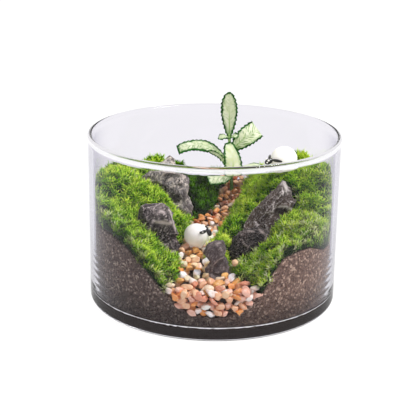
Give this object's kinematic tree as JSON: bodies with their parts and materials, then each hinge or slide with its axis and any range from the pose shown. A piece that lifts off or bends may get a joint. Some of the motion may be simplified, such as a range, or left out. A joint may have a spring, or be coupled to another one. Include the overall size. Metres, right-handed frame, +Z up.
{
  "type": "glass plant terrarium",
  "caption": "Open straight-sided glass bowl with rounded lip, holding banked soil, moss cushions, a gravel path, dark stones, small sheep figures and a young white-and-green leaved plant.",
  "frame": {"origin": "middle of the glass bowl's flat underside, on the surface it stands on", "axes": "+Z up along the bowl's axis; -Y to the front, where the gravel path meets the glass; +X to the right of that view"},
  "size_m": [0.15, 0.15, 0.1173],
  "materials": {
    "clear_glass": "polished",
    "potting_soil": "matte",
    "gravel": "satin",
    "moss": "matte",
    "stone": "matte",
    "sheep_white": "satin",
    "sheep_black": "satin",
    "leaf": "satin"
  },
  "bodies": {
    "root": {"glass_jar": "clear_glass", "soil": "potting_soil", "gravel_path": "gravel", "stray_pebble": "gravel", "moss_left_ridge": "moss", "moss_left_front": "moss", "moss_back_left": "moss", "moss_back_centre": "moss", "moss_right_strip": "moss", "moss_right_back": "moss", "moss_right_front": "moss", "moss_centre": "moss", "stone_back_left": "stone", "stone_front_left": "stone", "stone_centre": "stone", "stone_right_large": "stone", "stone_right_low": "stone", "sheep_front_body": "sheep_white", "sheep_front_head": "sheep_black", "sheep_back_body": "sheep_white", "sheep_back_head": "sheep_black", "leafy_stem": "leaf"}
  },
  "joints": []
}
